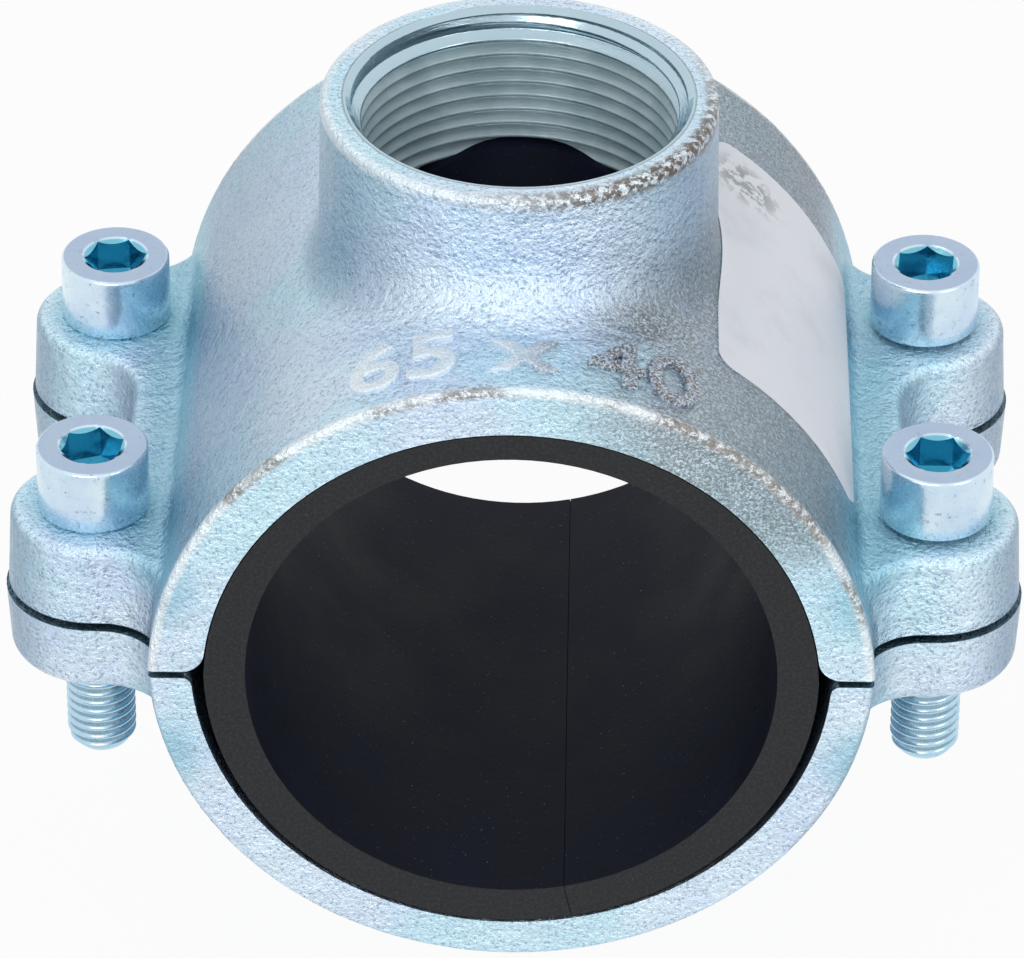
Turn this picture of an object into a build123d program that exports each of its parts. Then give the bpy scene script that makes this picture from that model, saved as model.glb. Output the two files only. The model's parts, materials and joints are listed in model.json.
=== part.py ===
"""Mechanical tee: a two-half pipe saddle clamp with a threaded branch outlet.

Millimetres, +Z up. The origin is the middle of the clamp on the pipe's axis. The pipe runs
along Y, the outlet rises along +Z, and the halves part at the plane Z = 0.
"""
import os
from math import radians, sqrt, tan

from build123d import *

# Pipe run and body
pipe_radius = 37.5            # the liner's bore, closed
body_length = 98.0            # both castings and the liner, along the pipe
parting_gap = 1.0             # between the closed halves

# Rubber liner, a little oval outside because the closed halves squeeze it
liner_wall_side = 5.85
liner_wall_top = 3.9
liner_wall_bottom = 5.4
liner_hole_radius = 21.0      # into the outlet
collar_rise = 3.5             # round that hole, above the liner's back
collar_fit = 0.2              # radial, in the outlet's relief
liner_slit_width = 0.1
liner_slit_angle = 12.0       # from straight down, towards +X

# Castings
liner_fit = 0.2               # upper half to liner, all round
lower_room_side = 1.85        # lower half to liner, at the parting plane
lower_room_bottom = 0.45      # lower half to liner, straight down
upper_wall_side = 7.75
upper_wall_top = 7.4
lower_wall = 6.0
shell_inner_round = 3.5       # the upper half's inner corner along the parting plane
lower_inner_round = 1.5
end_edge_round = 0.8          # the shells' outer edge at both ends

# Outlet, for a 1 1/2 inch parallel pipe thread
outlet_height = 66.5          # rim above the pipe's axis
outlet_thread_radius = 23.9   # the thread's root
outlet_thread_length = 21.5   # from the rim
outlet_relief = 0.6           # radial, below the thread
outlet_mouth_chamfer = 0.7
outlet_wall = 4.3             # outside the thread's root, at the rim
boss_draft = 1.0              # degrees
boss_blend = 8.0              # concave, into the shell
rim_round = 1.0
boss_root_height = 20.0       # inside the shell, where the boss starts

# Flange and lugs
screw_spacing_x = 120.0
screw_spacing_y = 50.0
seat_height = 12.8            # screw heads' seat above the pipe's axis
lower_lug_depth = 11.5        # lower lugs' underside below the pipe's axis
flange_sink = 0.3             # the flange's root inside the shell, at the lugs' tops
lug_radius = 12.6             # upper lug, at the parting plane
lower_lug_radius = 13.0
flange_waist = 5.4            # how far the flange stands off the shell between the lugs
flange_draft = 3.0            # degrees
plan_blend = 9.0              # concave, in plan, at the waist and towards the shell's ends
seat_blend = 2.4              # concave, flange to shell
lug_top_round = 1.5
lug_bottom_round = 2.6

# Screws, M10 with hexagon socket heads
thread_radius = 5.0
screw_hole_clearance = 0.5    # radial, in the upper lugs
tapped_hole_clearance = 0.05  # radial, in the lower lugs
head_radius = 8.0
head_height = 10.0
head_round = 0.6
socket_across_flats = 8.0
socket_depth = 5.0
screw_length = 41.5           # under the head
tip_chamfer = 1.0
right_head_lift = 0.6         # the screws on the right are not quite driven home
socket_turns = {"front_left": 20.0, "front_right": 0.0, "back_left": 8.0, "back_right": 25.0}

# Worked out from the sizes above
half_length = body_length / 2
liner_side = pipe_radius + liner_wall_side
liner_top = pipe_radius + liner_wall_top
liner_bottom = pipe_radius + liner_wall_bottom
boss_radius = outlet_thread_radius + outlet_wall
relief_radius = outlet_thread_radius + outlet_relief
collar_radius = relief_radius - collar_fit
upper_bore_side = liner_side + liner_fit
upper_bore_top = liner_top + liner_fit
upper_side = upper_bore_side + upper_wall_side
upper_top = upper_bore_top + upper_wall_top
lower_bore_side = liner_side + lower_room_side
lower_bore_bottom = liner_bottom + lower_room_bottom
lower_side = lower_bore_side + lower_wall
lower_bottom = lower_bore_bottom + lower_wall
screw_x = screw_spacing_x / 2
screw_y = screw_spacing_y / 2

touch = 0.01                  # two edges this near each other count as in line
upright = (Align.CENTER, Align.CENTER, Align.MIN)
hanging = (Align.CENTER, Align.CENTER, Align.MAX)


def arch_face(side, rise):
    """The area under an arc of the given half width and rise, in the XZ plane."""
    arc = ThreePointArc((-side, 0), (0, rise), (side, 0))
    return make_face(Plane.XZ * Curve([arc, Line((side, 0), (-side, 0))]))


def along_pipe(face, half=half_length):
    """A face of the XZ plane extruded both ways along the pipe."""
    return extrude(face, amount=half, both=True)


def arch_half_width(side, rise, height):
    """Half the width of an arch of the given half width and rise, at a height."""
    radius = (side**2 + rise**2) / (2 * rise)
    return sqrt(radius**2 - (height - rise + radius) ** 2)


def at_lugs(shape):
    """A copy of a shape at each of the four screws."""
    return [Pos(x, y) * shape for x in (-screw_x, screw_x) for y in (-screw_y, screw_y)]


def flange_plan(root, waist, radius):
    """One side's flange in plan: two round lugs, a waist between them, concave blends."""
    plan = Rectangle(root, body_length, align=(Align.MIN, Align.CENTER))
    plan += Rectangle(waist, screw_spacing_y, align=(Align.MIN, Align.CENTER))
    for y in (-screw_y, screw_y):
        plan += Pos(screw_x, y) * Circle(radius)
        plan += Pos(0, y) * Rectangle(screw_x, 2 * radius, align=(Align.MIN, Align.CENTER))
    widened = offset(plan, plan_blend, kind=Kind.ARC)
    return offset(widened, -plan_blend, kind=Kind.ARC)


def flange(side, rise, radius, height, edge_round):
    """One side's drafted flange, from the plane Z = 0 up to the lugs' tops."""
    taper = height * tan(radians(flange_draft))
    root = arch_half_width(side, rise, height) + taper - flange_sink
    plan = flange_plan(root, side + flange_waist, radius)
    body = extrude(plan, amount=height, taper=flange_draft)
    rim = body.faces().sort_by(Axis.Z)[-1].edges()
    rim = rim.filter_by(lambda e: abs(e.center().Y) < half_length - taper - touch)
    return fillet(rim.filter_by(lambda e: e.center().X > root / 2), edge_round)


def arched_casting(side, rise, radius, height, edge_round):
    """The outside of a half: a solid arch along the pipe with a flange on each side."""
    wing = flange(side, rise, radius, height, edge_round)
    body = along_pipe(arch_face(side, rise)) + wing + mirror(wing, Plane.YZ)
    ends = body.edges().filter_by(GeomType.CIRCLE)
    ends = ends.filter_by(lambda e: abs(abs(e.center().Y) - half_length) < touch)
    body = fillet(ends, end_edge_round)
    foot = arch_half_width(side, rise, height)
    seats = body.edges().filter_by(GeomType.LINE)
    seats = seats.filter_by(lambda e: abs(e.center().Z - height) < touch)
    return fillet(seats.filter_by(lambda e: abs(abs(e.center().X) - foot) < touch), seat_blend)


def hollow(body, bore_side, bore_rise, hole_radius, height, inner_round):
    """Bores a casting for the liner and the screws and opens its parting face."""
    bore = along_pipe(arch_face(bore_side, bore_rise))
    holes = at_lugs(Cylinder(hole_radius, 2 * height + parting_gap))
    below = Box(2 * screw_spacing_x, body_length + parting_gap, parting_gap)
    body = body - bore - holes - below
    lips = body.edges().filter_by(Axis.Y).group_by(Axis.Z)[0]
    lips = lips.filter_by(lambda e: abs(e.center().X) < bore_side + touch)
    return fillet(lips, inner_round)


def make_upper_half():
    outside = arched_casting(upper_side, upper_top, lug_radius, seat_height, lug_top_round)
    tall = outlet_height - boss_root_height
    foot_radius = boss_radius + tall * tan(radians(boss_draft))
    boss = extrude(Circle(foot_radius), amount=tall, taper=boss_draft)
    boss = fillet(boss.edges().sort_by(Axis.Z)[-1], rim_round)
    outside += Pos(0, 0, boss_root_height) * boss
    joint = outside.edges().filter_by(GeomType.BSPLINE).sort_by(SortBy.LENGTH)[-1]
    outside = fillet(joint, boss_blend)
    hole_radius = thread_radius + screw_hole_clearance
    body = hollow(outside, upper_bore_side, upper_bore_top, hole_radius, seat_height, shell_inner_round)
    body -= Cylinder(outlet_thread_radius, outlet_height, align=upright)
    body -= Cylinder(relief_radius, outlet_height - outlet_thread_length, align=upright)
    mouths = body.edges().filter_by(GeomType.CIRCLE)
    mouths = mouths.filter_by(lambda e: abs(e.radius - outlet_thread_radius) < touch)
    return chamfer(mouths.sort_by(Axis.Z)[-1], outlet_mouth_chamfer)


def make_lower_half():
    depth = lower_lug_depth
    outside = arched_casting(lower_side, lower_bottom, lower_lug_radius, depth, lug_bottom_round)
    hole_radius = thread_radius + tapped_hole_clearance
    body = hollow(outside, lower_bore_side, lower_bore_bottom, hole_radius, depth, lower_inner_round)
    return mirror(body, Plane.XY)


def make_liner():
    """A split sleeve with a collar that stands up into the outlet."""
    ring = arch_face(liner_side, liner_top) + mirror(arch_face(liner_side, liner_bottom), Plane.XY)
    collar = Cylinder(collar_radius, outlet_height, align=upright)
    collar &= along_pipe(arch_face(liner_side + collar_rise, liner_top + collar_rise))
    sleeve = along_pipe(ring) + collar - Rot(X=90) * Cylinder(pipe_radius, 2 * body_length)
    sleeve -= Cylinder(liner_hole_radius, outlet_height, align=upright)
    cut = Box(liner_slit_width, 2 * body_length, liner_bottom)
    sleeve -= Rot(Y=-liner_slit_angle) * (Pos(0, 0, -liner_bottom) * cut)
    return sleeve


def make_cap_screw(turn):
    """A hexagon socket head cap screw, its head's seat on Z = 0."""
    head = Cylinder(head_radius, head_height, align=upright)
    head = fillet(head.edges().sort_by(Axis.Z)[-1], head_round)
    shank = Cylinder(thread_radius, screw_length, align=hanging)
    shank = chamfer(shank.edges().sort_by(Axis.Z)[0], tip_chamfer)
    hexagon = RegularPolygon(socket_across_flats / 2, 6, major_radius=False, rotation=turn)
    socket = extrude(Pos(0, 0, head_height - socket_depth) * hexagon, amount=socket_depth)
    return head + shank - socket


def make_cap_screws():
    screws = {}
    for end, y in (("front", -screw_y), ("back", screw_y)):
        for hand, x, lift in (("left", -screw_x, 0), ("right", screw_x, right_head_lift)):
            place = f"{end}_{hand}"
            screw = make_cap_screw(socket_turns[place])
            screws[f"cap_screw_{place}"] = Pos(x, y, seat_height + lift) * screw
    return screws


def main():
    nodes = {
        "upper_half": make_upper_half(),
        "lower_half": make_lower_half(),
        "rubber_liner": make_liner(),
        **make_cap_screws(),
    }
    os.makedirs("parts", exist_ok=True)
    for name, shape in nodes.items():
        export_step(shape, f"parts/{name}.step")


main()
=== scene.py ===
"""Mechanical tee, dressed: rough plated castings, outlet thread, cap screws, liner, marking, label.

Metres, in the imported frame: the pipe runs along Y, the outlet rises along +Z. Inside the materials
places and sizes are in millimetres.
"""
import json
from math import ceil, cos, pi, radians, sin

import bmesh
import bpy
from mathutils import Matrix, Vector
from mathutils.bvhtree import BVHTree


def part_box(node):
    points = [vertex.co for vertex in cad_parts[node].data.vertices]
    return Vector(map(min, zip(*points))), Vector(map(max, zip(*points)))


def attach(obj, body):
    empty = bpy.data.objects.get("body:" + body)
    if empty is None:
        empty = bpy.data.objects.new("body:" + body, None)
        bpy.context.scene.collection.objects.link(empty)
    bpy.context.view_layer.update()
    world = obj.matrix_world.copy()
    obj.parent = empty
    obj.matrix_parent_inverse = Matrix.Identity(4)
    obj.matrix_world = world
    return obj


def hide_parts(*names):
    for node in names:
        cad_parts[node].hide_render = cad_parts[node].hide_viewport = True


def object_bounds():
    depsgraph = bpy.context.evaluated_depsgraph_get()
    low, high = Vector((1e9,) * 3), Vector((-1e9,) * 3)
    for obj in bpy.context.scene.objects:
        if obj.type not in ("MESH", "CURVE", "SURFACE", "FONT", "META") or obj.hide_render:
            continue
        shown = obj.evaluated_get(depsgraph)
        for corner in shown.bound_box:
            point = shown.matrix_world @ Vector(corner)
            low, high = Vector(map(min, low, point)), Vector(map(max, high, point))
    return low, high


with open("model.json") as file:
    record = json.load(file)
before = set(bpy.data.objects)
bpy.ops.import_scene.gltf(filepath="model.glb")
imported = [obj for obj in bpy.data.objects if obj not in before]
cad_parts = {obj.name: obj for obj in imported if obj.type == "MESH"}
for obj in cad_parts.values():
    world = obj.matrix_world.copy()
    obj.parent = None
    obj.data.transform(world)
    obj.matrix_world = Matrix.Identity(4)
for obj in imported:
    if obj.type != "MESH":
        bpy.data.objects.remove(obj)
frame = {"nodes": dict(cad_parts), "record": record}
cad_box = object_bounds()

MM = 0.001
PLACES = ("front_left", "front_right", "back_left", "back_right")

# From the frame
mounts = {m["name"]: m for m in frame["record"]["mounts"]}
outlet = mounts["outlet_thread"]["dims"]
thread_root = outlet["r_mm"] * MM
thread_bottom = mounts["outlet_thread"]["pos_m"][2] - outlet["length_mm"] * MM / 2
rim_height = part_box("upper_half")[1].z
joints = {j["name"]: j for j in frame["record"]["behaviour"]["joints"]}
floor_height = cad_box[0].z - joints["lower_half_drop"]["range_m"][1]   # clear of the lowered half

# Outlet thread, 1 1/2 inch parallel pipe thread
OUTLET_PITCH = 2.309 * MM
OUTLET_DEPTH = 1.479 * MM
OUTLET_EASE = OUTLET_DEPTH * 0.10    # radial, the rounding at the root and at the crest
OUTLET_LEAD = 1.7 * MM               # plain mouth above the last turn
OUTLET_RUN_ON = 6.0 * MM             # turns below the stated thread
OUTLET_STEPS = 180                   # round one turn
THREAD_BURIED = 0.55 * MM            # into the wall behind

# Cap screws
HEAD_RADIUS = 8.0 * MM
HEAD_HEIGHT = 10.0 * MM
HEAD_FOOT_BEVEL = 0.25 * MM
HEAD_ROUND = 0.6 * MM
HEAD_ROUND_STEPS = 6
SHANK_RADIUS = 5.0 * MM
SCREW_PITCH = 1.5 * MM
SCREW_CORE = 4.1 * MM                # radius under the thread
SCREW_BURIED = 0.15 * MM             # the thread's ridge, into the core
SCREW_THREAD_LENGTH = 32.0 * MM
SCREW_THREAD_STEPS = 48              # round one turn
SHANK_TAPER = 0.9 * MM               # plain shank down to the core, along the screw
TIP_LENGTH = 0.6 * MM
TIP_DROP = 0.5 * MM                  # radial, over the tip's length
SOCKET_FLAT = 4.0 * MM               # half across flats
SOCKET_DEPTH = 5.0 * MM
SOCKET_MARGIN = 4.95 * MM            # radius of the flat top's inner edge
SOCKET_BEVEL = 0.12 * MM             # below the top, at the hexagon's corners
SOCKET_BEVEL_SLOPE = 0.9
DRILL_SHARE = 0.55                   # of the hexagon, the drilled bottom's width
DRILL_SHOULDER = 0.35 * MM
DRILL_POINT = 0.8 * MM
SOCKET_TURNS = {"front_left": 20.0, "front_right": 0.0, "back_left": 8.0, "back_right": 25.0}
SCREW_STEPS = 96                     # round the head and the shank

# Marking and label on the upper half's outside; angles are degrees from straight up, towards +X
MARK_TEXT = "65 x 40"
MARK_ANGLE = 2.0
MARK_Y = -39.0 * MM                  # its middle
MARK_LENGTH = 52.0 * MM
MARK_CAP = 10.5 * MM                 # height of the numerals
CAP_SHARE = 0.69                     # of the font's size
MARK_RISE = 0.75 * MM
MARK_ROUND = 0.30 * MM
SHELL_RADIUS = 51.0 * MM             # turns a width on the shell into an angle
OUTSIDE_RADIUS = 0.12                # from the pipe's axis, clear of the upper half
LABEL_ANGLES = (35.2, 72.5)
LABEL_Y = (-28.0 * MM, 32.0 * MM)
LABEL_CORNER = 3.0 * MM
LABEL_UNDER = 0.02 * MM              # underside above the casting
LABEL_RISE = 0.14 * MM               # top above the casting
BENT_EDGE = 1.2 * MM                 # longest edge of what is bent over the shell

# Places where the materials paint shade, highlights, wear and tints, in millimetres
SCREW_X, SCREW_Y = 60.0, 25.0        # the screws' axes
HOLLOW_X, HOLLOW_Z = 50.0, 14.0      # where the flanges meet the shell
FOOT_RADIUS, FOOT_Z = 34.0, 48.0     # round the boss's foot
RIM_RADIUS, RIM_Z = 28.2, 66.3       # the rim's outer edge
ARC_DROP = 2.35                      # the upper shell's arc is centred this far below the pipe's axis
LIP_RADIUS, LIP_Y = 51.0, 48.7       # the upper shell's outer end edges, from that centre
LABEL_WORN_X, LABEL_WORN_Y = 33.0, 24.0

# Studio
WORLD_DIFFUSE = 0.62                 # the white world's strength as light on the object
FLOOR_HALF = 3.0
FLOOR_SEEN = 0.92                    # share of plain white in the floor as the camera sees it
LAMP_AIM = (0.0, 0.0, 0.01)
LAMPS = (                            # name, place, size, watts
    ("key", (-0.35, -1.0, 0.70), (0.7, 0.5), 3.5),
    ("fill", (0.8, -0.7, 0.45), (0.4, 0.6), 1.5),
    ("top", (-0.3, 0.2, 1.1), (0.5, 0.4), 0.5),
)
CAMERA_SPOT = (0.0098, -0.8041, 0.5532)
CAMERA_YAW = -0.747                  # degrees
CAMERA_PITCH = 34.494                # degrees below level
CAMERA_ROLL = 0.379                  # degrees
CAMERA_SENSOR = 36.0                 # millimetres
CAMERA_LENS = 233.65                 # millimetres
CAMERA_CLIP = (0.05, 20.0)

# Colours
PLATE_LILAC = (0.63, 0.77, 0.95)
PLATE_BLUE = (0.71, 0.85, 0.97)
PLATE_CYAN = (0.55, 0.82, 0.94)
# PLATE_PALE: painted glints and painted edge highlights on the casting, and the numerals' paler left
PLATE_PALE = (0.90, 0.94, 0.96)
PLATE_TEAL_SHADE = (0.25, 0.54, 0.66)
PLATE_SHADE = (0.095, 0.19, 0.31)
PLATE_DARK = (0.13, 0.13, 0.12)
PLATE_BROWN = (0.13, 0.095, 0.07)
PARTING_SHADE = (0.02, 0.10, 0.15)
MACHINED = (0.47, 0.62, 0.70)
THREAD_DULL = (0.31, 0.42, 0.46)
THREAD_PALE = (0.41, 0.52, 0.56)
SCREW_BLUE = (0.58, 0.73, 0.88)
SCREW_PALE = (0.70, 0.84, 0.92)
SCREW_TOP_SHADE = (0.34, 0.43, 0.59)
SCREW_LOW_SHADE = (0.36, 0.62, 0.78)
SOCKET_TEAL_SHADE = (0.07, 0.46, 0.60)
RUBBER_BLACK = (0.0042, 0.0062, 0.0150)
RUBBER_SOFT = (0.0085, 0.0118, 0.0270)
RUBBER_END = (0.026, 0.027, 0.030)
RUBBER_END_PALE = (0.038, 0.039, 0.043)
DUST = (0.30, 0.30, 0.31)
PAPER_WHITE = (0.82, 0.85, 0.92)
PAPER_SMEAR = (0.75, 0.78, 0.85)
PAPER_WORN = (0.22, 0.27, 0.27)
FLOOR_WHITE = (0.90, 0.90, 0.90)


# ---------------------------------------------------------------- meshes

def new_object(name, mesh, material):
    """An object of a mesh with one material, linked to the scene."""
    mesh.materials.append(material)
    piece = bpy.data.objects.new(name, mesh)
    bpy.context.scene.collection.objects.link(piece)
    return piece


def grid_mesh(name, rows):
    """A quad mesh through rows of points, each row a closed ring."""
    height, width = len(rows), len(rows[0])
    faces = []
    for i in range(height - 1):
        for j in range(width):
            below, right = i + 1, (j + 1) % width
            here, there = i * width, below * width
            faces.append((here + j, here + right, there + right, there + j))
    mesh = bpy.data.meshes.new(name)
    mesh.from_pydata([p for row in rows for p in row], [], faces)
    return mesh


def finish_mesh(mesh, smooth_angle=35.0):
    """Welds doubles, turns the faces outward and shades them smooth up to an angle."""
    bm = bmesh.new()
    bm.from_mesh(mesh)
    bmesh.ops.remove_doubles(bm, verts=bm.verts, dist=1e-7)
    bmesh.ops.recalc_face_normals(bm, faces=bm.faces)
    for face in bm.faces:
        face.smooth = True
    for edge in bm.edges:
        if len(edge.link_faces) == 2:
            edge.smooth = edge.calc_face_angle(0.0) < radians(smooth_angle)
    bm.to_mesh(mesh)
    bm.free()
    return mesh


def both_ways(side):
    """A ridge's profile from its upper half: radii and heights, mirrored in height."""
    return [(radius, -height) for radius, height in reversed(side)] + side


def helix_mesh(name, profile, root, low, pitch, turns, steps, share_at, start=0.0):
    """A closed helical ridge round Z, whose profile's first point is buried behind the root.

    share_at gives the ridge's height at a turn, as a share of its full height.
    """
    buried_side = profile[0][0] > root
    rows = []
    for i in range(ceil(turns * steps) + 1):
        turn = i / steps
        angle = 2 * pi * turn + start
        row = []
        for radius, height in profile:
            if (radius > root) != buried_side:
                radius = root + (radius - root) * share_at(turn)
            row.append((radius * cos(angle), radius * sin(angle), low + height + pitch * turn))
        rows.append(row)
    mesh = grid_mesh(name, rows)
    bm = bmesh.new()
    bm.from_mesh(mesh)
    bmesh.ops.holes_fill(bm, edges=[e for e in bm.edges if len(e.link_faces) == 1], sides=0)
    bm.to_mesh(mesh)
    bm.free()
    return mesh


# ---------------------------------------------------------------- materials

class Nodes:
    """Short names for building one material's node tree."""

    def __init__(self, name):
        self.material = bpy.data.materials.new(name)
        self.material.use_nodes = True
        self.tree = self.material.node_tree
        self.shader = self.tree.nodes["Principled BSDF"]
        self.output = self.tree.nodes["Material Output"]
        self.coords = self.add("ShaderNodeTexCoord")
        self.place = self.vector("SCALE", self.coords.outputs["Object"])
        self.place.node.inputs["Scale"].default_value = 1 / MM

    def add(self, kind, **settings):
        node = self.tree.nodes.new(kind)
        for key, value in settings.items():
            setattr(node, key, value)
        return node

    def link(self, source, target):
        """Links a socket to another, or sets a number or colour on it."""
        if isinstance(source, (int, float)):
            target.default_value = source
        elif isinstance(source, tuple):
            target.default_value = (*source, 1.0) if target.type == "RGBA" else source
        else:
            self.tree.links.new(source, target)

    def math(self, operation, a, b=0.0):
        node = self.add("ShaderNodeMath", operation=operation)
        self.link(a, node.inputs[0])
        self.link(b, node.inputs[1])
        return node.outputs[0]

    def plus(self, a, b):
        return self.math("ADD", a, b)

    def minus(self, a, b):
        return self.math("SUBTRACT", a, b)

    def absolute(self, a):
        return self.math("ABSOLUTE", a)

    def product(self, *factors):
        result = factors[0]
        for factor in factors[1:]:
            result = self.math("MULTIPLY", result, factor)
        return result

    def length_of(self, *parts):
        """The length of a vector given by its parts."""
        total = 0.0
        for part in parts:
            total = self.plus(self.math("MULTIPLY", part, part), total)
        return self.math("SQRT", total)

    def vector(self, operation, a, b=None):
        node = self.add("ShaderNodeVectorMath", operation=operation)
        self.link(a, node.inputs[0])
        if b is not None:
            self.link(b, node.inputs[1])
        return node.outputs["Vector"]

    def parts_of(self, vector):
        node = self.add("ShaderNodeSeparateXYZ")
        self.link(vector, node.inputs[0])
        return node.outputs[0], node.outputs[1], node.outputs[2]

    def xyz(self):
        """The place on the piece, in millimetres."""
        return self.parts_of(self.place)

    def facing(self):
        """The three parts of the surface's direction."""
        return self.parts_of(self.coords.outputs["Normal"])

    def noise(self, size, detail=2.0, roughness=0.5, stretch=None):
        """Noise from 0 to 1 whose blobs are about size millimetres across."""
        node = self.add("ShaderNodeTexNoise")
        place = self.place if stretch is None else self.vector("MULTIPLY", self.place, stretch)
        self.link(place, node.inputs["Vector"])
        node.inputs["Scale"].default_value = 1.0 / size
        node.inputs["Detail"].default_value = detail
        node.inputs["Roughness"].default_value = roughness
        return node.outputs["Fac"]

    def ramp(self, value, low, high, to_low=0.0, to_high=1.0):
        """Value mapped smoothly from low..high to to_low..to_high, held at both ends."""
        node = self.add("ShaderNodeMapRange", clamp=True, interpolation_type="SMOOTHSTEP")
        self.link(value, node.inputs["Value"])
        node.inputs["From Min"].default_value = low
        node.inputs["From Max"].default_value = high
        node.inputs["To Min"].default_value = to_low
        node.inputs["To Max"].default_value = to_high
        return node.outputs["Result"]

    def mix(self, factor, a, b):
        node = self.add("ShaderNodeMix", data_type="RGBA")
        self.link(factor, node.inputs["Factor"])
        self.link(a, node.inputs["A"])
        self.link(b, node.inputs["B"])
        return node.outputs["Result"]

    def tint(self, color, shade, *shares):
        """A colour with a shade laid over it, as strong as the product of the shares."""
        return self.mix(self.product(*shares), color, shade)

    def bump(self, height, distance, strength=1.0):
        node = self.add("ShaderNodeBump")
        node.inputs["Distance"].default_value = distance
        node.inputs["Strength"].default_value = strength
        self.link(height, node.inputs["Height"])
        return node.outputs["Normal"]

    def finish(self, color, roughness, normal=None, metallic=0.0, specular=None):
        """Sets the shader and returns the material."""
        self.link(color, self.shader.inputs["Base Color"])
        self.link(roughness, self.shader.inputs["Roughness"])
        self.link(metallic, self.shader.inputs["Metallic"])
        if normal is not None:
            self.link(normal, self.shader.inputs["Normal"])
        if specular is not None:
            self.link(specular, self.shader.inputs["Specular IOR Level"])
        return self.material


def upper_half_tints(n, color, patch):
    """What only the upper half shows; returns the colour and where the outlet is cut."""
    x, y, z = n.xyz()
    across, along = n.absolute(x), n.absolute(y)
    around = n.length_of(x, y)
    fleck = n.ramp(n.noise(1.0, 4.0, 0.75), 0.42, 0.54)

    # Painted teal shade round the foot of the screws' heads
    seat = n.length_of(n.minus(across, SCREW_X), n.minus(along, SCREW_Y))
    color = n.tint(color, PLATE_TEAL_SHADE, n.ramp(seat, 11.0, 8.2), n.ramp(z, 12.0, 12.6), 0.5)

    # Darker speckle on the right shoulder and round the boss's foot
    side = n.ramp(n.plus(x, n.product(n.minus(patch, 0.5), 30.0)), 4.0, 26.0)
    dark_speckle = n.ramp(n.noise(0.45, 4.0, 0.7), 0.58, 0.46)
    shoulder = n.product(side, n.ramp(z, 15.0, 26.0), n.ramp(z, 58.0, 44.0))
    color = n.tint(color, PLATE_DARK, shoulder, n.plus(n.product(dark_speckle, 0.48), 0.24))
    foot = n.ramp(n.length_of(n.minus(around, FOOT_RADIUS), n.minus(z, FOOT_Z)), 5.0, 2.0)
    color = n.tint(color, PLATE_DARK, foot, n.ramp(x, 4.0, 22.0), n.plus(dark_speckle, 0.25), 0.6)

    # Rim's edge: a painted pale highlight all round, and worn brown on the right
    rim = n.length_of(n.minus(around, RIM_RADIUS), n.minus(z, RIM_Z))
    right = n.ramp(n.minus(x, n.product(y, 0.8)), 6.0, 40.0)
    color = n.tint(color, PLATE_PALE, n.ramp(rim, 1.8, 0.9), 0.45)
    color = n.tint(color, PLATE_BROWN, n.ramp(rim, 2.6, 1.2), right, fleck)

    # Shell's end edges: a painted pale highlight, and chipped brown in places
    shell_depth = n.minus(n.length_of(x, n.plus(z, ARC_DROP)), LIP_RADIUS)
    lip = n.length_of(shell_depth, n.minus(along, LIP_Y))
    color = n.tint(color, PLATE_PALE, n.ramp(lip, 1.3, 0.6), 0.6)
    chipped = n.product(n.ramp(n.noise(12.0, 2.0), 0.46, 0.60), fleck, 0.7)
    color = n.tint(color, PLATE_BROWN, n.ramp(lip, 1.4, 0.6), chipped)

    cut_face = n.product(n.ramp(around, 25.2, 24.9), n.ramp(z, 44.0, 46.0))
    return n.mix(cut_face, color, MACHINED), cut_face


def casting_material(name, upper):
    """Zinc-plated sand casting: fine pebbled skin, painted teal shade in the hollows, painted shade on
    its flanks.
    """
    n = Nodes(name)
    x, _, z = n.xyz()
    grain = n.noise(0.55, 3.0, 0.65)
    pebble = n.noise(1.2, 2.0, 0.55)
    lump = n.noise(6.0, 2.0, 0.5)
    patch = n.noise(22.0, 3.0, 0.55)
    hue = n.noise(34.0, 2.0, 0.5)
    color = n.mix(n.ramp(patch, 0.35, 0.65), PLATE_LILAC, PLATE_BLUE)
    color = n.tint(color, PLATE_CYAN, n.ramp(hue, 0.45, 0.62), 0.8)
    # Pale dots at the grain's peaks are painted glints; dark dots in its pits are painted shade
    color = n.tint(color, PLATE_PALE, n.ramp(grain, 0.56, 0.64), 0.5)
    color = n.tint(color, PLATE_SHADE, n.ramp(grain, 0.45, 0.36), 0.5)
    # Painted shade on the flanks, stronger where the surface faces sideways
    flank = n.ramp(n.absolute(n.facing()[0]), 0.30, 1.0)
    color = n.tint(color, PLATE_SHADE, flank, 0.62)
    height_off = n.absolute(z)
    # Painted teal shade in the hollows where the flanges meet the shell
    hollow = n.length_of(n.minus(n.absolute(x), HOLLOW_X), n.minus(height_off, HOLLOW_Z))
    color = n.tint(color, PLATE_TEAL_SHADE, n.ramp(hollow, 9.0, 2.0), 0.65)
    # Painted shade on the faces in the gap between the halves
    color = n.tint(color, PARTING_SHADE, n.ramp(height_off, 0.62, 0.53), 0.88)
    rough = n.ramp(n.noise(2.0, 3.0), 0.3, 0.7, 0.22, 0.38)
    skin = n.plus(n.plus(pebble, n.product(grain, 0.8)), n.product(lump, 1.4))
    if upper:
        color, cut_face = upper_half_tints(n, color, patch)
        rough = n.minus(rough, n.product(cut_face, 0.14))
        skin = n.product(skin, n.minus(1.0, cut_face))
    return n.finish(color, rough, n.bump(skin, 0.50 * MM), metallic=0.86)


def marking_material(name):
    """The cast numerals: paler on the left and darker, partly brown, on the right."""
    n = Nodes(name)
    x = n.xyz()[0]
    grain = n.noise(0.4, 4.0, 0.7)
    right = n.ramp(n.plus(x, n.product(grain, 12.0)), 2.0, 16.0, 0.0, 0.9)
    rubbed = n.mix(n.ramp(grain, 0.42, 0.58), PLATE_BLUE, PLATE_PALE)
    worn = n.mix(n.ramp(grain, 0.44, 0.60), PLATE_BROWN, PLATE_LILAC)
    normal = n.bump(n.plus(n.noise(1.2), grain), 0.30 * MM)
    rough = n.ramp(grain, 0.3, 0.7, 0.25, 0.40)
    return n.finish(n.mix(right, rubbed, worn), rough, normal, metallic=0.80)


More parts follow.
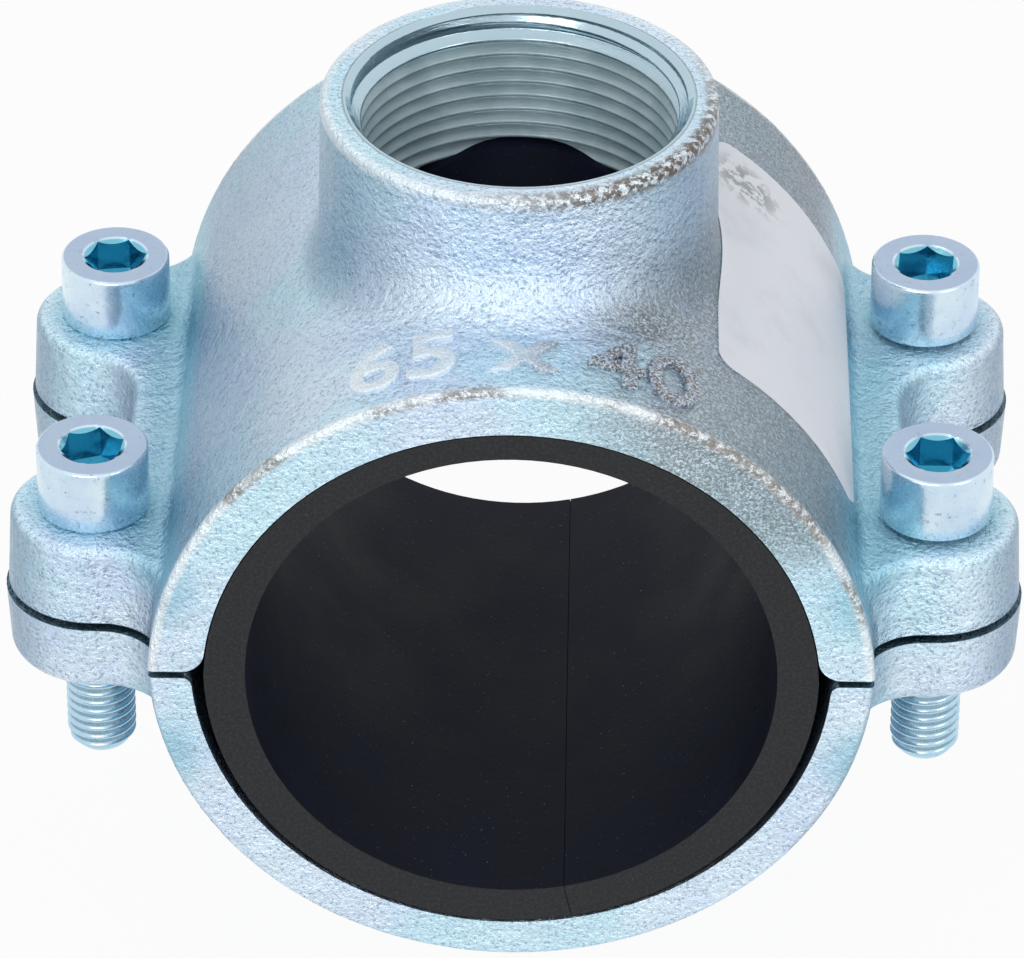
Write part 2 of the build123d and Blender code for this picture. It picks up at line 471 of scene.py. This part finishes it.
def machined_material(name):
    """Cut and plated thread: dull blue-grey, brighter and smoother towards the mouth."""
    n = Nodes(name)
    z = n.xyz()[2]
    fine = n.noise(0.5, 3.0, 0.6, stretch=(0.3, 0.3, 3.0))
    color = n.mix(n.ramp(n.noise(6.0, 3.0, 0.6), 0.35, 0.7), THREAD_DULL, THREAD_PALE)
    color = n.mix(n.ramp(z, 60.0, 63.5), color, MACHINED)
    rough = n.ramp(z, 60.0, 63.5, 0.45, 0.16)
    metallic = n.ramp(z, 60.0, 63.0, 0.55, 0.95)
    return n.finish(color, rough, n.bump(fine, 0.05 * MM, 0.8), metallic=metallic)


def screw_material(name):
    """Bright zinc-plated steel, light scuffs; painted shade on the tops, teal shade in sockets and low on
    shanks.
    """
    n = Nodes(name)
    x, y, z = n.xyz()
    scuff = n.noise(1.2, 4.0, 0.75)
    wave = n.noise(7.0, 2.0, 0.5)
    color = n.mix(n.ramp(wave, 0.3, 0.7), SCREW_BLUE, SCREW_PALE)
    color = n.tint(color, PLATE_BROWN, n.ramp(scuff, 0.60, 0.68), 0.6)
    axis = n.length_of(n.minus(n.absolute(x), SCREW_X), n.minus(n.absolute(y), SCREW_Y))
    socket = n.product(n.ramp(axis, 4.75, 4.55), n.ramp(z, 15.0, 16.0))
    # Painted shade on the head's flat top
    top = n.product(n.ramp(n.facing()[2], 0.80, 0.98), n.ramp(z, 20.0, 21.0))
    color = n.tint(color, SCREW_TOP_SHADE, top, 0.75)
    # Painted teal shade down in the socket
    color = n.tint(color, SOCKET_TEAL_SHADE, socket, 0.78)
    # Painted teal shade low on the shank, in the gap between the lugs
    color = n.tint(color, SCREW_LOW_SHADE, n.ramp(z, 5.0, 0.0), 0.6)
    rough = n.minus(n.ramp(scuff, 0.3, 0.7, 0.17, 0.32), n.product(socket, 0.08))
    skin = n.plus(n.noise(0.6, 3.0, 0.6), n.product(wave, 2.5))
    return n.finish(color, rough, n.bump(skin, 0.03 * MM), metallic=1.0)


def rubber_material(name):
    """Matt black moulded rubber with dust specks; the cut end faces are a little greyer."""
    n = Nodes(name)
    y = n.xyz()[1]
    soft = n.noise(14.0, 3.0, 0.6)
    fine = n.noise(0.5, 2.0, 0.5)
    speck = n.ramp(n.noise(0.35, 2.0, 0.5), 0.73, 0.77)
    inside = n.mix(n.ramp(soft, 0.3, 0.7), RUBBER_BLACK, RUBBER_SOFT)
    end = n.mix(n.ramp(fine, 0.4, 0.7), RUBBER_END, RUBBER_END_PALE)
    color = n.mix(n.ramp(n.absolute(y), 48.80, 48.95), inside, end)
    color = n.tint(color, DUST, speck, 0.8)
    normal = n.bump(n.plus(n.noise(0.8, 3.0), soft), 0.05 * MM)
    return n.finish(color, n.ramp(soft, 0.3, 0.7, 0.54, 0.64), normal, specular=0.14)


def label_material(name):
    """Satin white paper label with faint handling marks and one rubbed corner."""
    n = Nodes(name)
    x, y, _ = n.xyz()
    smear = n.noise(9.0, 4.0, 0.65)
    color = n.mix(n.ramp(smear, 0.45, 0.75), PAPER_WHITE, PAPER_SMEAR)
    corner = n.length_of(n.minus(x, LABEL_WORN_X), n.minus(y, LABEL_WORN_Y))
    worn = n.ramp(n.noise(2.2, 4.0, 0.7), 0.46, 0.54)
    color = n.tint(color, PAPER_WORN, n.ramp(corner, 7.0, 2.0), worn, 0.8)
    normal = n.bump(n.noise(4.0, 2.0), 0.08 * MM, 0.6)
    return n.finish(color, n.ramp(smear, 0.3, 0.7, 0.38, 0.50), normal)


# ---------------------------------------------------------------- pieces

def dress(node, material):
    """Gives a CAD node its material."""
    data = frame["nodes"][node].data
    data.materials.clear()
    data.materials.append(material)


def make_outlet_thread(material):
    """The outlet's thread: one closed helical ridge, its back buried in the wall."""
    crest = thread_root - OUTLET_DEPTH
    half, flat = OUTLET_PITCH / 2, OUTLET_PITCH * 0.10
    profile = both_ways([
        (crest, flat * 0.6),
        (crest + OUTLET_EASE, flat * 1.3),
        (thread_root - OUTLET_EASE, half * 0.80),
        (thread_root, half * 0.98),
        (thread_root + THREAD_BURIED, half * 0.98),
    ])
    low = thread_bottom - OUTLET_RUN_ON
    turns = (rim_height - OUTLET_LEAD - low) / OUTLET_PITCH

    def share_at(turn):
        """The ridge starts within a tenth of a turn and fades out over the last half turn."""
        return max(min(1.0, (turns - turn) / 0.5, 0.02 + turn / 0.1), 0.0)

    mesh = helix_mesh("outlet_thread", profile, thread_root, low, OUTLET_PITCH, turns,
                      OUTLET_STEPS, share_at, start=pi / 2)
    piece = new_object("outlet_thread", finish_mesh(mesh, 50.0), material)
    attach(piece, "upper_body")


def hex_radius(angle):
    """Distance from the middle to a hexagon's side, half its width across flats being SOCKET_FLAT."""
    return SOCKET_FLAT / cos((angle % (pi / 3)) - pi / 6)


def steps_round():
    return [2 * pi * i / SCREW_STEPS for i in range(SCREW_STEPS)]


def round_rings(outline):
    """Round rings about Z through an outline's radii and heights."""
    return [[(r * cos(t), r * sin(t), z) for t in steps_round()] for r, z in outline]


def hex_ring(height_at, share=1.0):
    """A ring round the hexagon, or a share of it, whose height depends on the hexagon's radius."""
    ring = []
    for t in steps_round():
        r = hex_radius(t)
        ring.append((r * share * cos(t), r * share * sin(t), height_at(r)))
    return ring


def screw_rows():
    """Rings of the head, from the shank's foot up over the head and down into the socket."""
    outline = [
        (SHANK_RADIUS, 0.0),
        (HEAD_RADIUS - HEAD_FOOT_BEVEL, 0.0),
        (HEAD_RADIUS, HEAD_FOOT_BEVEL),
        (HEAD_RADIUS, HEAD_HEIGHT - HEAD_ROUND * 1.6),
    ]
    for i in range(1, HEAD_ROUND_STEPS + 1):
        a = i / HEAD_ROUND_STEPS * pi / 2
        outline.append((HEAD_RADIUS - HEAD_ROUND * (1 - cos(a)), HEAD_HEIGHT - HEAD_ROUND * (1 - sin(a))))
    outline.append((SOCKET_MARGIN, HEAD_HEIGHT))
    rows = round_rings(outline)
    corner = SOCKET_FLAT / cos(pi / 6)
    bottom = HEAD_HEIGHT - SOCKET_DEPTH
    rows.append(hex_ring(lambda r: HEAD_HEIGHT - SOCKET_BEVEL - (corner - r) * SOCKET_BEVEL_SLOPE))
    rows.append(hex_ring(lambda r: bottom))
    rows.append(hex_ring(lambda r: bottom - DRILL_SHOULDER, DRILL_SHARE))
    rows.append([(0.0, 0.0, bottom - DRILL_POINT)] * SCREW_STEPS)
    return rows


def shank_rows(length):
    """Rings of the plain shank and the thread's core, from the head down to the tip."""
    plain = length - SCREW_THREAD_LENGTH
    return round_rings([
        (SHANK_RADIUS, 0.0),
        (SHANK_RADIUS, -plain),
        (SCREW_CORE, -plain - SHANK_TAPER),
        (SCREW_CORE, -length + TIP_LENGTH),
        (SCREW_CORE - TIP_DROP, -length),
        (0.0, -length),
    ])


def screw_thread_mesh(length):
    """The shank's thread: a closed helical ridge sunk a little into its core."""
    half = SCREW_PITCH / 2
    profile = both_ways([
        (SHANK_RADIUS, half * 0.14),
        (SCREW_CORE, half),
        (SCREW_CORE - SCREW_BURIED, half),
    ])
    low = -length + 0.55 * MM
    turns = (SCREW_THREAD_LENGTH - 0.3 * MM) / SCREW_PITCH

    def share_at(turn):
        """The ridge grows over its first turn at the tip and fades out by the plain shank."""
        return min(1.0, 0.35 + turn / 1.6, (turns - turn) / 0.3 + 0.02)

    return helix_mesh("screw_thread", profile, SCREW_CORE, low, SCREW_PITCH, turns,
                      SCREW_THREAD_STEPS, share_at)


def make_cap_screw(place, material):
    """One screw in its CAD node's place."""
    low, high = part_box(f"cap_screw_{place}")
    seat = Vector(((low.x + high.x) / 2, (low.y + high.y) / 2, high.z - HEAD_HEIGHT))
    length = seat.z - low.z
    bm = bmesh.new()
    for mesh in (
        grid_mesh("head", screw_rows()),
        grid_mesh("shank", shank_rows(length)),
        screw_thread_mesh(length),
    ):
        bm.from_mesh(mesh)
        bpy.data.meshes.remove(mesh)
    turn = Matrix.Rotation(radians(SOCKET_TURNS[place]), 4, "Z")
    bmesh.ops.transform(bm, matrix=Matrix.Translation(seat) @ turn, verts=bm.verts)
    mesh = bpy.data.meshes.new(f"screw_{place}")
    bm.to_mesh(mesh)
    bm.free()
    piece = new_object(f"screw_{place}", finish_mesh(mesh, 30.0), material)
    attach(piece, f"{place}_screw")
    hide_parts(f"cap_screw_{place}")


def upper_tree():
    """The upper half's faces, for ray casts."""
    node = frame["nodes"]["upper_half"]
    bm = bmesh.new()
    bm.from_mesh(node.data)
    tree = BVHTree.FromBMesh(bm)
    bm.free()
    return tree


def shell_hit(tree, angle, y):
    """Where a line out of the pipe's axis, at an angle from straight up, leaves the upper half."""
    out = Vector((sin(angle), 0.0, cos(angle)))
    start = Vector((0.0, y, 0.0)) + out * OUTSIDE_RADIUS
    return tree.ray_cast(start, -out)[0]


def cut_fine(bm, longest):
    """Halves the edges that are longer than a length, up to eight times over."""
    for _ in range(8):
        long_edges = [e for e in bm.edges if e.calc_length() > longest]
        if not long_edges:
            return
        bmesh.ops.subdivide_edges(bm, edges=long_edges, cuts=1)
        bmesh.ops.triangulate(bm, faces=[f for f in bm.faces if len(f.verts) > 3])


def bend_over_shell(bm, tree, middle_angle, middle_y):
    """Bends a flat piece over the shell: its x goes round, its y along, its z becomes height."""
    for v in bm.verts:
        angle = middle_angle + v.co.x / SHELL_RADIUS
        out = Vector((sin(angle), 0.0, cos(angle)))
        v.co = shell_hit(tree, angle, middle_y + v.co.y) + out * v.co.z


def make_marking(tree, material):
    """Raised cast numerals, bent over the shell: plain nominal sizes."""
    curve = bpy.data.curves.new("marking", "FONT")
    curve.body = MARK_TEXT
    curve.size = MARK_CAP / CAP_SHARE
    curve.extrude = MARK_RISE / 2
    curve.bevel_depth = MARK_ROUND
    curve.bevel_resolution = 2
    curve.resolution_u = 6
    text = bpy.data.objects.new("marking_text", curve)
    solid = bpy.data.meshes.new_from_object(text)
    bpy.data.objects.remove(text)
    bm = bmesh.new()
    bm.from_mesh(solid)
    bpy.data.meshes.remove(solid)
    bmesh.ops.remove_doubles(bm, verts=bm.verts, dist=1e-6)
    bmesh.ops.triangulate(bm, faces=bm.faces)
    cut_fine(bm, BENT_EDGE)
    xs, ys, zs = ([v.co[i] for v in bm.verts] for i in range(3))
    stretch = MARK_LENGTH / (max(xs) - min(xs))
    for v in bm.verts:
        v.co.x = (v.co.x - (max(xs) + min(xs)) / 2) * stretch
        v.co.y -= (max(ys) + min(ys)) / 2
        v.co.z += MARK_RISE - max(zs)
    bend_over_shell(bm, tree, radians(MARK_ANGLE), MARK_Y)
    mesh = bpy.data.meshes.new("cast_numerals")
    bm.to_mesh(mesh)
    bm.free()
    piece = new_object("cast_numerals", finish_mesh(mesh, 50.0), material)
    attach(piece, "upper_body")


def rounded_rectangle(width, height, corner, steps=8):
    """Points of a rounded rectangle about the origin."""
    points = []
    for quarter in range(4):
        cx = (width / 2 - corner) * (1 if quarter in (0, 3) else -1)
        cy = (height / 2 - corner) * (1 if quarter in (0, 1) else -1)
        for i in range(steps + 1):
            a = (quarter + i / steps) * pi / 2
            points.append((cx + corner * cos(a), cy + corner * sin(a)))
    return points


def make_label(tree, material):
    """A blank paper label stuck over the shell and the foot of the boss."""
    low, high = (radians(a) * SHELL_RADIUS for a in LABEL_ANGLES)
    width, height = high - low, LABEL_Y[1] - LABEL_Y[0]
    bm = bmesh.new()
    outline = rounded_rectangle(width, height, LABEL_CORNER)
    bm.faces.new([bm.verts.new((x, y, LABEL_UNDER)) for x, y in outline])
    bmesh.ops.triangulate(bm, faces=bm.faces)
    cut_fine(bm, BENT_EDGE)
    extruded = bmesh.ops.extrude_face_region(bm, geom=list(bm.faces), use_keep_orig=True)
    for v in extruded["geom"]:
        if isinstance(v, bmesh.types.BMVert):
            v.co.z = LABEL_RISE
    bend_over_shell(bm, tree, (low + high) / 2 / SHELL_RADIUS, sum(LABEL_Y) / 2)
    mesh = bpy.data.meshes.new("paper_label")
    bm.to_mesh(mesh)
    bm.free()
    piece = new_object("paper_label", finish_mesh(mesh, 50.0), material)
    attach(piece, "upper_body")


# ---------------------------------------------------------------- the dressed model

casting = casting_material("zinc_casting_upper", True)
casting_low = casting_material("zinc_casting_lower", False)
machined = machined_material("zinc_machined")
bright = screw_material("zinc_bright")
rubber = rubber_material("black_rubber")
paper = label_material("label_paper")

dress("upper_half", casting)
dress("lower_half", casting_low)
dress("rubber_liner", rubber)
shell = upper_tree()
make_outlet_thread(machined)
make_marking(shell, marking_material("zinc_marking"))
make_label(shell, paper)
for place in PLACES:
    make_cap_screw(place, bright)


# ---------------------------------------------------------------- stage, light, camera

def make_floor():
    """A pale floor that keeps the object's soft shadow."""
    mesh = bpy.data.meshes.new("floor")
    corners = [(x * FLOOR_HALF, y * FLOOR_HALF, 0) for x, y in ((-1, -1), (1, -1), (1, 1), (-1, 1))]
    mesh.from_pydata(corners, [], [(0, 1, 2, 3)])
    n = Nodes("floor_white")
    n.finish(FLOOR_WHITE, 0.9)
    glow = n.add("ShaderNodeEmission")
    path = n.add("ShaderNodeLightPath")
    seen = n.math("MAXIMUM", path.outputs["Is Camera Ray"], path.outputs["Is Transmission Ray"])
    seen = n.math("MAXIMUM", n.product(seen, FLOOR_SEEN), path.outputs["Is Glossy Ray"])
    blend = n.add("ShaderNodeMixShader")
    n.link(seen, blend.inputs["Fac"])
    n.link(n.shader.outputs[0], blend.inputs[1])
    n.link(glow.outputs[0], blend.inputs[2])
    n.link(blend.outputs[0], n.output.inputs["Surface"])
    floor = new_object("floor", mesh, n.material)
    floor.location.z = floor_height


def make_world():
    """White to the camera and in reflections, and a plain level of light on the object."""
    world = bpy.data.worlds.new("studio")
    bpy.context.scene.world = world
    world.use_nodes = True
    tree = world.node_tree
    path = tree.nodes.new("ShaderNodeLightPath")
    glossy = tree.nodes.new("ShaderNodeMath")
    glossy.operation = "MAXIMUM"
    tree.links.new(path.outputs["Is Camera Ray"], glossy.inputs[0])
    tree.links.new(path.outputs["Is Glossy Ray"], glossy.inputs[1])
    seen = tree.nodes.new("ShaderNodeMath")
    seen.operation = "MAXIMUM"
    tree.links.new(glossy.outputs[0], seen.inputs[0])
    tree.links.new(path.outputs["Is Transmission Ray"], seen.inputs[1])
    strength = tree.nodes.new("ShaderNodeMix")
    tree.links.new(seen.outputs[0], strength.inputs["Factor"])
    strength.inputs["A"].default_value = WORLD_DIFFUSE
    strength.inputs["B"].default_value = 1.0
    background = tree.nodes["Background"]
    background.inputs["Color"].default_value = (1.0, 1.0, 1.0, 1.0)
    tree.links.new(strength.outputs["Result"], background.inputs["Strength"])


def make_light(name, spot, size, power):
    """A rectangular lamp that faces LAMP_AIM."""
    data = bpy.data.lights.new(name, "AREA")
    data.shape = "RECTANGLE"
    data.size, data.size_y = size
    data.energy = power
    light = bpy.data.objects.new(name, data)
    light.location = spot
    light.rotation_euler = (Vector(spot) - Vector(LAMP_AIM)).to_track_quat("Z", "Y").to_euler()
    bpy.context.scene.collection.objects.link(light)


def make_camera():
    """The camera: its place, the way it faces, its small roll, and its long lens."""
    spot = Vector(CAMERA_SPOT)
    yaw, pitch, roll = radians(CAMERA_YAW), radians(CAMERA_PITCH), radians(CAMERA_ROLL)
    ahead = Vector((sin(yaw) * cos(pitch), cos(yaw) * cos(pitch), -sin(pitch)))
    right = Vector((cos(yaw), -sin(yaw), 0.0))
    up = right.cross(ahead)
    right, up = cos(roll) * right + sin(roll) * up, -sin(roll) * right + cos(roll) * up
    data = bpy.data.cameras.new("camera")
    data.sensor_width = CAMERA_SENSOR
    data.lens = CAMERA_LENS
    data.clip_start, data.clip_end = CAMERA_CLIP
    camera = bpy.data.objects.new("camera", data)
    camera.matrix_world = Matrix((
        (right.x, up.x, -ahead.x, spot.x),
        (right.y, up.y, -ahead.y, spot.y),
        (right.z, up.z, -ahead.z, spot.z),
        (0.0, 0.0, 0.0, 1.0),
    ))
    bpy.context.scene.collection.objects.link(camera)
    bpy.context.scene.camera = camera


make_floor()
make_world()
for name, spot, size, power in LAMPS:
    make_light(name, spot, size, power)
make_camera()
bpy.context.scene.view_settings.view_transform = "Standard"
